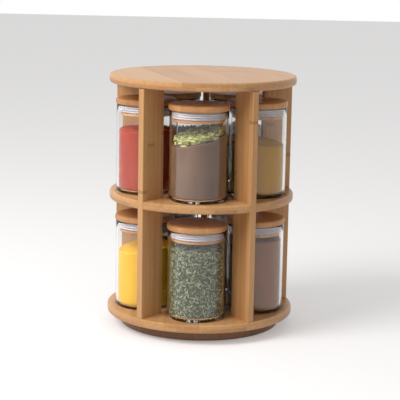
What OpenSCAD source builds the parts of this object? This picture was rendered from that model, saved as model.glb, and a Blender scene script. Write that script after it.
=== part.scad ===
// Rotating spice rack. Three round bamboo boards are held one above the other
// by five upright dividers, which make five bays on each of two tiers. The
// whole rack turns on a ball-bearing ring over a smaller round base. Each bay
// seats one glass jar with a bamboo lid and a silicone seal.
// The origin is on the table under the middle of the rack, +Z is up, and the
// middle of bay 1 faces -Y. Bays and dividers count anticlockwise from above.

/* [Boards] */
// Diameter of the bottom shelf
bottom_shelf_d = 211; // [207:1:216]
// Diameter of the middle shelf
middle_shelf_d = 208; // [206:1:212]
// Diameter of the top panel
top_panel_d = 209; // [207:1:216]
// Thickness of each round board
board_t = 9.5; // [9:0.5:12]
// Clear height of each tier
tier_h = 121.5; // [119:0.5:135]
// Radius of the rounded board edges
board_edge_r = 2.5; // [1:0.5:4]

/* [Dividers] */
// Thickness of a divider
divider_t = 7.5; // [6:0.5:9]
// Distance of a divider's inner edge from the middle of the rack
divider_inner_r = 70.5; // [68:0.5:76]
// How far a divider stands out from the middle shelf's rim
divider_proud = 0.3; // [0:0.1:1]
// Radius on a divider's long edges
divider_edge_r = 1; // [0.5:0.25:2]

/* [Base] */
// Diameter of the base
base_d = 182; // [176:1:190]
// Thickness of the base
base_t = 10.5; // [9.5:0.5:14]
// Gap between the base and the bottom shelf
base_gap = 1.8; // [1.2:0.1:3]
// Diameter of an anti-slip pad
pad_d = 15; // [10:1:20]
// Thickness of an anti-slip pad
pad_t = 1.5; // [1:0.5:3]

/* [Jars] */
// Outer diameter of a glass jar
jar_d = 65; // [60:0.5:66]
// Height of a glass jar without its lid
jar_h = 99; // [90:0.5:99]
// Wall thickness of the glass
jar_wall = 2.3; // [1.8:0.1:3]
// Thickness of the glass floor
jar_floor = 3.6; // [2.5:0.1:6]
// Distance of a jar's middle from the middle of the rack
jar_ring_r = 65.3; // [65:0.1:66]
// Depth of the round seat that a jar stands in
seat_depth = 0.85; // [0.5:0.05:1.2]
// Gap between a jar and the wall of its seat
seat_gap = 1; // [0.6:0.1:1.5]

/* [Lids] */
// Diameter of a lid
lid_d = 67; // [66:0.5:69]
// Thickness of a lid above the glass
lid_t = 6.8; // [5:0.2:8]
// Depth of the plug under a lid
plug_depth = 12; // [10.5:0.5:13]
// Gap between the silicone seal and the glass
seal_gap = 0.1; // [0.05:0.05:0.2]

/* [Spices] */
// Level of the spice in each lower jar, bay 1 to bay 5, above the glass floor
lower_level = [77, 77.5, 62, 70, 65]; // [30:0.5:79]
// Slope of the spice in each lower jar, in degrees
lower_slope = [5, 3, 4, 3, 8]; // [0:1:8]
// Level of the spice in each upper jar, bay 1 to bay 5, above the glass floor
upper_level = [70, 57, 66, 60, 68]; // [30:0.5:75]
// Slope of the spice in each upper jar, in degrees
upper_slope = [15, 7, 3, 4, 2]; // [0:1:15]

/* [Hidden] */
$fn = 96;
BAYS = 5;
TIERS = ["lower", "upper"];

// How far a cut reaches past what it cuts
cut = 1;

// Angles
bay_angle = 360 / BAYS;
divider_turn = bay_angle / 2;

// Heights above the table
base_z = pad_t;
base_top_z = base_z + base_t;
bottom_shelf_z = base_top_z + base_gap;
bottom_shelf_top_z = bottom_shelf_z + board_t;
middle_shelf_z = bottom_shelf_top_z + tier_h;
middle_shelf_top_z = middle_shelf_z + board_t;
top_panel_z = middle_shelf_top_z + tier_h;
shelf_tops = [bottom_shelf_top_z, middle_shelf_top_z];

// Pads under the base
pad_count = 5;
pad_ring_r = base_d / 2 - pad_d;

// Ball bearing: two flat rings, one inside the other, with balls between them
bearing_h = 9;
base_pocket = 3.5;
shelf_pocket = bearing_h - base_pocket - base_gap;
bearing_z = base_top_z - base_pocket;
bearing_top_z = bearing_z + bearing_h;
pocket_inner_r = 34;
pocket_outer_r = 61;
ring_clearance = 0.8;
ring_h = bearing_h - ring_clearance;
lower_ring_inner_r = 36;
upper_ring_outer_r = 59;
ball_ring_r = 47.5;
ball_r = 2;
ball_count = 32;
ball_play = 0.05;
race_gap = 1.6;
race_depth = (ball_r + ball_play) * sqrt(2);
race_z = bearing_z + bearing_h / 2;
cage_t = 0.7;
cage_h = 4.8;

// Countersunk screws of the bearing
screw_count = 4;
screw_r = 1.7;
screw_hole_r = 1.8;
pilot_r = 1.75;
screw_head_r = 3.2;
screw_head_h = 1.9;
screw_tip_r = 0.3;
screw_tip_h = 1.5;
head_play = 0.1;
tip_play = 0.2;
lower_screw_ring_r = 41.3;
upper_screw_ring_r = 53.6;
wood_past_lower_screw = 1.5;
wood_past_upper_screw = 1.2;
lower_screw_bite = base_t - base_pocket - wood_past_lower_screw;
upper_screw_bite = board_t - shelf_pocket - seat_depth - wood_past_upper_screw;
driver_hole_r = 4.5;

// Dividers and their joints
divider_outer_r = middle_shelf_d / 2 + divider_proud;
divider_h = 2 * tier_h + board_t;
lap_r = (divider_inner_r + middle_shelf_d / 2) / 2;
lap_play = 0.05;
dowel_r = 2;
dowel_play = 0.03;
dowel_in_board = 6;
dowel_in_divider = 12;
dowel_end_play = 0.2;
dowel_inset = 8;
dowel_radii = [divider_inner_r + dowel_inset, divider_outer_r - dowel_inset];

// Glass jar, measured from the underside of its glass
jar_r = jar_d / 2;
jar_inner_r = jar_r - jar_wall;
jar_heel_r = 5;
jar_inner_heel_r = 3.4;
jar_lift = seat_depth - 0.05;
seat_r = jar_r + seat_gap;

// Lid, measured from its underside, which rests on the glass
lid_rest_gap = 0.05;
lid_edge_r = 2.4;
plug_gap = 1.9;
plug_r = jar_inner_r - plug_gap;
plug_edge_r = 1;
groove_depth = 0.9;
groove_top = 1.2;
groove_h = 7.2;
seal_fit = 0.05;
seal_body_t = 1.2;
seal_lips = 3;
seal_lip_h = 1.6;

// Spice, which fills the glass to its wall
spice_play = 0.1;

// Colours
board_tone = [0.78, 0.59, 0.39];
divider_tone = [0.80, 0.62, 0.40];
base_tone = [0.45, 0.30, 0.17];
lid_tone = [0.79, 0.58, 0.37];
dowel_tone = [0.86, 0.72, 0.52];
lower_tones = [
    [0.42, 0.45, 0.33],
    [0.52, 0.34, 0.26],
    [0.62, 0.30, 0.10],
    [0.36, 0.27, 0.18],
    [0.86, 0.68, 0.12]
];
upper_tones = [
    [0.38, 0.28, 0.21],
    [0.69, 0.49, 0.08],
    [0.50, 0.40, 0.22],
    [0.30, 0.22, 0.16],
    [0.56, 0.15, 0.03]
];

// Half section of a round board with both rim corners rounded
module board_section(radius, thickness, edge_r) {
    square([radius - edge_r, thickness]);
    translate([0, edge_r])
        square([radius, thickness - 2 * edge_r]);
    for (z = [edge_r, thickness - edge_r])
        translate([radius - edge_r, z])
            circle(edge_r);
}

// A round board with its underside at z
module board(diameter, thickness, z) {
    translate([0, 0, z])
        rotate_extrude()
            board_section(diameter / 2, thickness, board_edge_r);
}

// Puts its children in a bay, with z = 0 at the given height
module in_bay(n, z) {
    rotate([0, 0, (n - 1) * bay_angle])
        translate([0, -jar_ring_r, z])
            children();
}

// Turns its children, drawn along +X, to the line of a divider
module at_divider(n) {
    rotate([0, 0, (n - 1) * bay_angle + divider_turn - 90])
        children();
}

// A flat ring cut as a tube
module tube(inner_r, outer_r, height) {
    difference() {
        cylinder(r = outer_r, h = height);
        translate([0, 0, -cut])
            cylinder(r = inner_r, h = height + 2 * cut);
    }
}

// Copies its children round the bearing's screw circle
module at_screws(ring_r, first_angle) {
    for (n = [0:screw_count - 1])
        rotate([0, 0, first_angle + n * 360 / screw_count])
            translate([ring_r, 0, 0])
                children();
}

// A countersunk screw with the top of its head at z = 0 and its tip down
module screw(length) {
    translate([0, 0, -screw_head_h])
        cylinder(r1 = screw_r, r2 = screw_head_r, h = screw_head_h);
    translate([0, 0, screw_tip_h - length])
        cylinder(r = screw_r, h = length - screw_tip_h - screw_head_h);
    translate([0, 0, -length])
        cylinder(r1 = screw_tip_r, r2 = screw_r, h = screw_tip_h);
}

// The hole that a countersunk screw goes through, from its head's top down
module screw_hole(depth) {
    translate([0, 0, -screw_head_h - head_play])
        cylinder(r1 = screw_hole_r, r2 = screw_head_r + head_play, h = screw_head_h + head_play);
    translate([0, 0, -depth])
        cylinder(r = screw_hole_r, h = depth);
}

// V-shaped race with 45 degree flanks, centred on the balls
module race() {
    rotate_extrude()
        translate([ball_ring_r, 0])
            polygon([[-race_depth, 0], [0, -race_depth], [race_depth, 0], [0, race_depth]]);
}

// Round seats for the jars, cut down from the top of a shelf
module jar_seats(shelf_top_z) {
    for (n = [1:BAYS])
        in_bay(n, shelf_top_z - seat_depth)
            cylinder(r = seat_r, h = seat_depth + cut);
}

// Holes for the dowels of all dividers, from z upwards
module dowel_holes(z, depth) {
    for (n = [1:BAYS], r = dowel_radii)
        at_divider(n)
            translate([r, 0, z])
                cylinder(r = dowel_r + dowel_play, h = depth);
}

module base_plate() {
    color(base_tone)
    difference() {
        board(base_d, base_t, base_z);
        translate([0, 0, bearing_z])
            tube(pocket_inner_r, pocket_outer_r, base_pocket + cut);
        at_screws(lower_screw_ring_r, 45)
            translate([0, 0, bearing_z - lower_screw_bite - tip_play])
                cylinder(r = pilot_r, h = lower_screw_bite + tip_play + cut);
        translate([upper_screw_ring_r, 0, 0])
            cylinder(r = driver_hole_r, h = base_top_z);
    }
}

module anti_slip_pads() {
    color("dimgray")
    for (n = [0:pad_count - 1])
        rotate([0, 0, n * 360 / pad_count - 90])
            translate([pad_ring_r, 0, 0])
                cylinder(d = pad_d, h = pad_t);
}

module lower_bearing_ring() {
    color("silver")
    difference() {
        translate([0, 0, bearing_z])
            tube(lower_ring_inner_r, ball_ring_r - race_gap / 2, ring_h);
        translate([0, 0, race_z])
            race();
        at_screws(lower_screw_ring_r, 45)
            translate([0, 0, bearing_z + ring_h])
                screw_hole(ring_h + cut);
    }
}

module lower_ring_screws() {
    color("gainsboro")
    at_screws(lower_screw_ring_r, 45)
        translate([0, 0, bearing_z + ring_h])
            screw(ring_h + lower_screw_bite);
}

module upper_bearing_ring() {
    color("silver")
    difference() {
        translate([0, 0, bearing_z + ring_clearance])
            tube(ball_ring_r + race_gap / 2, upper_ring_outer_r, ring_h);
        translate([0, 0, race_z])
            race();
        at_screws(upper_screw_ring_r, 0)
            translate([0, 0, bearing_z + ring_clearance])
                mirror([0, 0, 1])
                    screw_hole(ring_h + cut);
    }
}

module upper_ring_screws() {
    color("gainsboro")
    at_screws(upper_screw_ring_r, 0)
        translate([0, 0, bearing_z + ring_clearance])
            mirror([0, 0, 1])
                screw(ring_h + upper_screw_bite);
}

module bearing_balls() {
    color("lightgray")
    for (n = [0:ball_count - 1])
        rotate([0, 0, n * 360 / ball_count])
            translate([ball_ring_r, 0, race_z])
                sphere(ball_r, $fn = 32);
}

module ball_cage() {
    color("ivory")
    difference() {
        translate([0, 0, race_z - cage_h / 2])
            tube(ball_ring_r - cage_t / 2, ball_ring_r + cage_t / 2, cage_h);
        for (n = [0:ball_count - 1])
            rotate([0, 0, n * 360 / ball_count])
                translate([ball_ring_r - ball_r, 0, race_z])
                    rotate([0, 90, 0])
                        cylinder(r = ball_r + ball_play, h = 2 * ball_r, $fn = 32);
    }
}

module bottom_shelf() {
    color(board_tone)
    difference() {
        board(bottom_shelf_d, board_t, bottom_shelf_z);
        jar_seats(bottom_shelf_top_z);
        translate([0, 0, bottom_shelf_z - cut])
            tube(pocket_inner_r, pocket_outer_r, shelf_pocket + cut);
        at_screws(upper_screw_ring_r, 0)
            translate([0, 0, bearing_top_z - cut])
                cylinder(r = pilot_r, h = upper_screw_bite + tip_play + cut);
        dowel_holes(bottom_shelf_top_z - dowel_in_board, dowel_in_board + cut);
    }
}

module middle_shelf() {
    color(board_tone)
    difference() {
        board(middle_shelf_d, board_t, middle_shelf_z);
        jar_seats(middle_shelf_top_z);
        for (n = [1:BAYS])
            at_divider(n)
                translate([lap_r, -divider_t / 2 - lap_play, middle_shelf_z - cut])
                    cube([middle_shelf_d, divider_t + 2 * lap_play, board_t + 2 * cut]);
    }
}

module top_panel() {
    color(board_tone)
    difference() {
        board(top_panel_d, board_t, top_panel_z);
        dowel_holes(top_panel_z - cut, dowel_in_board + cut);
    }
}

// Outline of a divider from above, drawn along +X, with rounded corners
module divider_outline() {
    x = [divider_inner_r + divider_edge_r, divider_outer_r - divider_edge_r];
    y = divider_t / 2 - divider_edge_r;
    translate([x[0], -divider_t / 2])
        square([x[1] - x[0], divider_t]);
    translate([divider_inner_r, -y])
        square([divider_outer_r - divider_inner_r, 2 * y]);
    for (cx = x, cy = [-y, y])
        translate([cx, cy])
            circle(divider_edge_r);
}

module divider(n) {
    color(divider_tone)
    at_divider(n)
    difference() {
        translate([0, 0, bottom_shelf_top_z])
            linear_extrude(divider_h)
                divider_outline();
        translate([0, -divider_t, middle_shelf_z - lap_play])
            cube([lap_r + lap_play, 2 * divider_t, board_t + 2 * lap_play]);
        for (r = dowel_radii, z = [bottom_shelf_top_z - cut, top_panel_z - dowel_in_divider])
            translate([r, 0, z])
                cylinder(r = dowel_r + dowel_play, h = dowel_in_divider + cut);
    }
}

module dowels() {
    length = dowel_in_board + dowel_in_divider - 2 * dowel_end_play;
    starts = [bottom_shelf_top_z - dowel_in_board, top_panel_z - dowel_in_divider];
    color(dowel_tone)
    for (n = [1:BAYS], r = dowel_radii, z = starts)
        at_divider(n)
            translate([r, 0, z + dowel_end_play])
                cylinder(r = dowel_r, h = length);
}

// Half section of the inside of a jar, shrunk all round by play
module hollow_section(play, height) {
    r = jar_inner_r - play;
    heel = jar_inner_heel_r - play;
    floor_z = jar_floor + play;
    translate([0, floor_z])
        square([r - heel, height]);
    translate([0, floor_z + heel])
        square([r, height - heel]);
    translate([r - heel, floor_z + heel])
        circle(heel);
}

module glass_section() {
    lip_r = jar_wall / 2;
    difference() {
        union() {
            square([jar_r - jar_heel_r, jar_heel_r]);
            translate([0, jar_heel_r])
                square([jar_r, jar_h - jar_heel_r - lip_r]);
            translate([jar_r - jar_heel_r, jar_heel_r])
                circle(jar_heel_r);
            translate([jar_r - lip_r, jar_h - lip_r])
                circle(lip_r);
        }
        hollow_section(0, jar_h);
    }
}

module jar(tier, n) {
    color([0.85, 0.90, 0.90, 0.35])
    in_bay(n, shelf_tops[tier] - jar_lift)
        rotate_extrude()
            glass_section();
}

// Spice in one jar, with a sloping top. It rises to the back right in bay 1,
// and towards the middle of the rack in the other bays.
module spice(tier, n) {
    level = (tier == 0 ? lower_level : upper_level)[n - 1];
    slope = (tier == 0 ? lower_slope : upper_slope)[n - 1];
    tone = (tier == 0 ? lower_tones : upper_tones)[n - 1];
    uphill = n == 1 ? 30 : 90;
    color(tone)
    in_bay(n, shelf_tops[tier] - jar_lift)
    difference() {
        rotate_extrude()
            hollow_section(spice_play, jar_h - jar_floor - plug_depth);
        translate([0, 0, jar_floor + level])
            rotate([0, 0, uphill])
                rotate([0, -slope, 0])
                    translate([-jar_d, -jar_d, 0])
                        cube([2 * jar_d, 2 * jar_d, jar_h]);
    }
}

module lid_section() {
    square([lid_d / 2 - lid_edge_r, lid_t]);
    translate([0, lid_edge_r])
        square([lid_d / 2, lid_t - 2 * lid_edge_r]);
    for (z = [lid_edge_r, lid_t - lid_edge_r])
        translate([lid_d / 2 - lid_edge_r, z])
            circle(lid_edge_r);
    difference() {
        union() {
            translate([0, -plug_depth])
                square([plug_r - plug_edge_r, plug_depth]);
            translate([0, plug_edge_r - plug_depth])
                square([plug_r, plug_depth - plug_edge_r]);
            translate([plug_r - plug_edge_r, plug_edge_r - plug_depth])
                circle(plug_edge_r);
        }
        translate([plug_r - groove_depth, -groove_top - groove_h])
            square([2 * groove_depth, groove_h]);
    }
}

// Puts its children on the rim of a jar
module on_jar(tier, n) {
    in_bay(n, shelf_tops[tier] - jar_lift + jar_h + lid_rest_gap)
        children();
}

module lid(tier, n) {
    color(lid_tone)
    on_jar(tier, n)
        rotate_extrude()
            lid_section();
}

// Half section of a seal: a band in the plug's groove with rounded lips
module seal_section() {
    inner_r = plug_r - groove_depth + seal_fit;
    lip_out = jar_inner_r - seal_gap;
    band_h = groove_h - 2 * seal_fit;
    pitch = (band_h - seal_lip_h) / (seal_lips - 1);
    translate([inner_r, -groove_top - groove_h + seal_fit])
        square([seal_body_t, band_h]);
    for (n = [0:seal_lips - 1])
        translate([0, -groove_top - groove_h + seal_fit + n * pitch]) {
            translate([inner_r, 0])
                square([lip_out - inner_r - seal_lip_h / 2, seal_lip_h]);
            translate([lip_out - seal_lip_h / 2, seal_lip_h / 2])
                circle(seal_lip_h / 2);
        }
}

module seal(tier, n) {
    color([0.80, 0.78, 0.76])
    on_jar(tier, n)
        rotate_extrude()
            seal_section();
}

base_plate();
anti_slip_pads();
lower_bearing_ring();
lower_ring_screws();
bearing_balls();
ball_cage();
upper_bearing_ring();
upper_ring_screws();
bottom_shelf();
middle_shelf();
top_panel();
dowels();
for (n = [1:BAYS]) {
    divider(n);
}
for (tier = [0, 1], n = [1:BAYS]) {
    jar(tier, n);
    spice(tier, n);
    lid(tier, n);
    seal(tier, n);
}
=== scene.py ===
"""Looks of a rotating spice rack: bamboo boards, glass jars with bamboo lids, and their spices.

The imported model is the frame. The boards, dividers and bearing keep its meshes and get their
finishes here. The glass, lids, seals, pads and spices are new surfaces, worked out with numpy in
the same places. Lengths are in metres unless a name or a comment says millimetres.
"""

import logging
import math
from dataclasses import dataclass, field
from enum import Enum

import bpy
import numpy as np
from mathutils import Matrix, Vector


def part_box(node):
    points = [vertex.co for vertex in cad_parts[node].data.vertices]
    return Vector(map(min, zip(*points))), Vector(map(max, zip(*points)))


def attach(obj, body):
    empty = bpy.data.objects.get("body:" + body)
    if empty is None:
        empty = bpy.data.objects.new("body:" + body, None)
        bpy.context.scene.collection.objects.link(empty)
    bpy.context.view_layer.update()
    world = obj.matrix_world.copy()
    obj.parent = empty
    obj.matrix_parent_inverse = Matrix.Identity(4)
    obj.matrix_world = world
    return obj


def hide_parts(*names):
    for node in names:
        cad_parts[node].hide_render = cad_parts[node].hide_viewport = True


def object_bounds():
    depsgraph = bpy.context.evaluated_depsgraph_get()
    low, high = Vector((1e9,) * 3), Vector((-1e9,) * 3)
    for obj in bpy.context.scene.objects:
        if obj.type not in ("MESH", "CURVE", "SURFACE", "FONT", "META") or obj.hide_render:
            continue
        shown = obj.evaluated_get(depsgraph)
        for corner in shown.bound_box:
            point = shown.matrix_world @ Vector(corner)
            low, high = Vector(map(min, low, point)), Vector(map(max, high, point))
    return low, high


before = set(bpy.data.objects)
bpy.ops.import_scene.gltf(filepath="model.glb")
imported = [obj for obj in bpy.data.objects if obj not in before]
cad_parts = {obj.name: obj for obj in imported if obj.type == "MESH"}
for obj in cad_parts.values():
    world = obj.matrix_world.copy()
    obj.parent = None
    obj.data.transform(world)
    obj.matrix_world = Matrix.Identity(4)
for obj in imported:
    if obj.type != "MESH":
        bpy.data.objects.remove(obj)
CAD_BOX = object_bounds()

MM = 0.001
BAYS = 5
BAY_TURN = 360 / BAYS
log = logging.getLogger("spice_rack")

Colour = tuple[float, float, float, float]
Placed = tuple[np.ndarray, np.ndarray, np.ndarray]


def tone(red: int, green: int, blue: int) -> Colour:
    """Turns an 8-bit display colour into linear light, by the standard display curve.

    Args:
        red, green, blue: Channels from 0 to 255.

    Returns:
        The colour as four linear channels, with alpha 1.
    """
    shown = np.array([red, green, blue]) / 255
    linear = np.where(shown <= 0.04045, shown / 12.92, ((shown + 0.055) / 1.055) ** 2.4)
    return (*(float(c) for c in linear), 1.0)


class Along(Enum):
    """The frame axis that a board's fibres run along, after its turn about Z."""

    Y = "Y"
    Z = "Z"


class Tier(Enum):
    """The two tiers of jars."""

    LOWER = "lower"
    UPPER = "upper"


@dataclass
class Surface:
    """Points and faces of one surface, in metres.

    Attributes:
        points: An N by 3 array.
        quads: An M by 4 array of point numbers, anticlockwise from outside.
        triangles: A K by 3 array of point numbers, anticlockwise from outside.
    """

    points: np.ndarray
    quads: np.ndarray
    triangles: np.ndarray = field(default_factory=lambda: np.zeros((0, 3), int))

    def moved(self, offset: tuple[float, float, float]) -> "Surface":
        """Returns this surface shifted by an offset."""
        return Surface(self.points + np.array(offset), self.quads, self.triangles)

    def joined(self, other: "Surface") -> "Surface":
        """Returns this surface and another one as one surface with separate shells."""
        start = len(self.points)
        return Surface(
            np.vstack([self.points, other.points]),
            np.vstack([self.quads, other.quads + start]),
            np.vstack([self.triangles, other.triangles + start]),
        )

    def piece(self, name: str, **attributes: np.ndarray) -> bpy.types.Object:
        """Puts the surface into a new mesh object at the origin.

        Args:
            name: The piece's name.
            attributes: Values for each point: N numbers, or an N by 3 array of vectors.

        Returns:
            The new object, smooth shaded.
        """
        mesh = bpy.data.meshes.new(name)
        corners = np.concatenate([self.quads.ravel(), self.triangles.ravel()])
        after_quads = 4 * len(self.quads)
        starts = [np.arange(len(self.quads)) * 4, after_quads + np.arange(len(self.triangles)) * 3]
        mesh.vertices.add(len(self.points))
        mesh.vertices.foreach_set("co", self.points.astype(np.float32).ravel())
        mesh.loops.add(len(corners))
        mesh.loops.foreach_set("vertex_index", corners.astype(np.int32))
        mesh.polygons.add(len(self.quads) + len(self.triangles))
        mesh.polygons.foreach_set("loop_start", np.concatenate(starts).astype(np.int32))
        mesh.polygons.foreach_set("use_smooth", np.ones(len(mesh.polygons), bool))
        mesh.update(calc_edges=True)
        mesh.validate()
        for key, values in attributes.items():
            kind, slot = ("FLOAT_VECTOR", "vector") if values.ndim == 2 else ("FLOAT", "value")
            layer = mesh.attributes.new(key, kind, "POINT")
            layer.data.foreach_set(slot, values.astype(np.float32).ravel())
        made = bpy.data.objects.new(name, mesh)
        bpy.context.scene.collection.objects.link(made)
        return made


def arc(centre: tuple[float, float], radius: float, start: float, end: float, steps: int = 6) -> np.ndarray:
    """Points of an arc: centre plus radius times (cos, sin) of evenly spaced angles in degrees."""
    angles = np.radians(np.linspace(start, end, steps + 1))
    return np.stack([centre[0] + radius * np.cos(angles), centre[1] + radius * np.sin(angles)], -1)


def wind(rings: int, columns: int, closed: bool) -> np.ndarray:
    """Faces of a grid of rings and columns whose columns wrap round.

    Args:
        rings: How many rings of points there are.
        columns: How many points a ring has.
        closed: True if the last ring joins the first one.

    Returns:
        Quads that face outwards when the rings climb up an outer wall.
    """
    low = np.arange(rings if closed else rings - 1)[:, None]
    high = (low + 1) % rings
    here = np.arange(columns)[None, :]
    after = (here + 1) % columns
    corners = [low * columns + here, low * columns + after, high * columns + after, high * columns + here]
    return np.stack(np.broadcast_arrays(*corners), -1).reshape(-1, 4)


def turned(radii: np.ndarray, heights: np.ndarray, closed: bool = False) -> Surface:
    """A surface of turning: the point in ring i and column j lies at its radius and height, at
    the angle 2 pi j / columns. A profile that isn't closed starts and ends on the axis, where its
    first and last rings become single points.

    Args:
        radii: Rings by columns, in millimetres. The end rings of an open profile aren't read.
        heights: The same for the heights.
        closed: True for a profile that is a loop, such as a seal's.

    Returns:
        The surface, round the Z axis.
    """
    rings, columns = radii.shape
    angles = 2 * math.pi * np.arange(columns) / columns
    points = np.stack([radii * np.cos(angles), radii * np.sin(angles), heights], -1)
    if closed:
        return Surface(points.reshape(-1, 3) * MM, wind(rings, columns, True))
    body = points[1:-1].reshape(-1, 3)
    ends = np.array([[0, 0, heights[0].mean()], [0, 0, heights[-1].mean()]])
    bottom, top = len(body), len(body) + 1
    here = np.arange(columns)
    after = (here + 1) % columns
    last = (rings - 3) * columns
    fans = [
        np.stack([np.full(columns, bottom), after, here], -1),
        np.stack([np.full(columns, top), last + here, last + after], -1),
    ]
    return Surface(np.vstack([body, ends]) * MM, wind(rings - 2, columns, False), np.vstack(fans))


def lathe(profile: np.ndarray, columns: int = 144, closed: bool = False) -> Surface:
    """Turns a profile of (radius, height) points in millimetres about the Z axis.

    Args:
        profile: An N by 2 array, from the bottom up the outside and back in at the top.
        columns: How many points go round.
        closed: True for a loop that doesn't touch the axis.

    Returns:
        The surface of turning.
    """
    grid = np.repeat(profile[:, :, None], columns, axis=2)
    return turned(grid[:, 0], grid[:, 1], closed)


def finely(profile: np.ndarray, longest: float) -> np.ndarray:
    """Splits the stretches of a profile that are longer than a length into equal steps."""
    steps = np.maximum(1, np.ceil(np.linalg.norm(np.diff(profile, axis=0), axis=1) / longest)).astype(int)
    parts = [np.linspace(a, b, n, endpoint=False) for a, b, n in zip(profile[:-1], profile[1:], steps)]
    return np.vstack([*parts, profile[-1:]])


class Value:
    """A number socket of a shader. Used in an expression, it adds Math nodes to its tree."""

    def __init__(self, graph: "Graph", socket: bpy.types.NodeSocket) -> None:
        """Wraps one socket of a graph."""
        self.graph = graph
        self.socket = socket

    def __add__(self, other: "Value | float") -> "Value":
        """This plus another."""
        return self.graph.math("ADD", self, other)

    def __sub__(self, other: "Value | float") -> "Value":
        """This minus another."""
        return self.graph.math("SUBTRACT", self, other)

    def __rsub__(self, other: "Value | float") -> "Value":
        """Another minus this."""
        return self.graph.math("SUBTRACT", other, self)

    def __mul__(self, other: "Value | float") -> "Value":
        """This times another."""
        return self.graph.math("MULTIPLY", self, other)

    def __truediv__(self, other: "Value | float") -> "Value":
        """This divided by another."""
        return self.graph.math("DIVIDE", self, other)

    __radd__ = __add__
    __rmul__ = __mul__

    def floor(self) -> "Value":
        """The whole number below this."""
        return self.graph.math("FLOOR", self)

    def fraction(self) -> "Value":
        """What is left above the whole number below this."""
        return self.graph.math("FRACT", self)

    def size(self) -> "Value":
        """This without its sign."""
        return self.graph.math("ABSOLUTE", self)

    def between(self, low: float, high: float) -> "Value":
        """0 up to low and 1 from high, with a smooth rise between them. Low may be the larger."""
        inputs = {"Value": self, "From Min": low, "From Max": high}
        return self.graph.value("ShaderNodeMapRange", {"interpolation_type": "SMOOTHSTEP"}, inputs)


class Graph:
    """The node tree of a material or a world."""

    def __init__(self, owner: bpy.types.Material | bpy.types.World) -> None:
        """Empties the owner's tree."""
        self.owner = owner
        self.owner.use_nodes = True
        self.tree = owner.node_tree
        self.tree.nodes.clear()

    @classmethod
    def named(cls, name: str) -> "Graph":
        """Starts the tree of a new material."""
        return cls(bpy.data.materials.new(name))

    def node(self, kind: str, settings: dict | None = None, inputs: dict | None = None) -> bpy.types.Node:
        """Adds one node.

        Args:
            kind: The node's type.
            settings: Properties that are set before the sockets. "stops" fills a colour ramp.
            inputs: A value or a link for each socket, by its name or number.

        Returns:
            The node.
        """
        made = self.tree.nodes.new(kind)
        for key, value in (settings or {}).items():
            if key == "stops":
                self.fill_ramp(made.color_ramp, value)
            else:
                setattr(made, key, value)
        for key, value in (inputs or {}).items():
            if isinstance(value, Value):
                self.tree.links.new(value.socket, made.inputs[key])
            elif isinstance(value, bpy.types.NodeSocket):
                self.tree.links.new(value, made.inputs[key])
            else:
                made.inputs[key].default_value = value
        return made

    @staticmethod
    def fill_ramp(ramp: bpy.types.ColorRamp, stops: list[tuple[float, Colour]]) -> None:
        """Gives a colour ramp its stops."""
        while len(ramp.elements) < len(stops):
            ramp.elements.new(1.0)
        for element, (place, colour) in zip(ramp.elements, stops):
            element.position = place
            element.color = colour

    def value(self, kind: str, settings: dict | None = None, inputs: dict | None = None) -> Value:
        """Adds a node and wraps its first output."""
        return Value(self, self.node(kind, settings, inputs).outputs[0])

    def math(self, operation: str, first: Value | float, second: Value | float = 0.0) -> Value:
        """Adds one Math node."""
        return self.value("ShaderNodeMath", {"operation": operation}, {0: first, 1: second})

    def mix(self, share: Value | float, first: object, second: object) -> bpy.types.NodeSocket:
        """Mixes two colours by a share."""
        inputs = {0: share, 6: first, 7: second}
        return self.node("ShaderNodeMix", {"data_type": "RGBA"}, inputs).outputs[2]

    def scaled(self, vector: object, factors: tuple[float, float, float]) -> bpy.types.NodeSocket:
        """Multiplies a vector by one factor for each axis."""
        settings = {"operation": "MULTIPLY"}
        return self.node("ShaderNodeVectorMath", settings, {0: vector, 1: factors}).outputs[0]

    def noise(self, vector: object, scale: float, detail: float = 2.0, rough: float = 0.5) -> Value:
        """Cloudy noise from 0 to 1, with so many lumps to a metre."""
        inputs = {"Vector": vector, "Scale": scale, "Detail": detail, "Roughness": rough}
        return self.value("ShaderNodeTexNoise", None, inputs)

    def object_place(self) -> bpy.types.NodeSocket:
        """The place of a point in the object's own coordinates."""
        return self.node("ShaderNodeTexCoord").outputs["Object"]

    def attribute(self, name: str, out: str) -> bpy.types.NodeSocket:
        """An attribute of the mesh."""
        return self.node("ShaderNodeAttribute", {"attribute_name": name}).outputs[out]

    def bump(self, height: Value, strength: float, distance: float) -> bpy.types.NodeSocket:
        """A normal that follows a height in metres times the distance."""
        inputs = {"Height": height, "Strength": strength, "Distance": distance}
        return self.node("ShaderNodeBump", None, inputs).outputs[0]

    def surface(self, **inputs: object) -> bpy.types.Material:
        """Ends the tree in one Principled shader.

        Args:
            inputs: Values or links for its sockets, with underscores for the spaces in their names.

        Returns:
            The finished material.
        """
        named = {key.replace("_", " "): value for key, value in inputs.items()}
        shader = self.node("ShaderNodeBsdfPrincipled", None, named)
        self.node("ShaderNodeOutputMaterial", None, {"Surface": shader.outputs[0]})
        return self.owner


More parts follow.
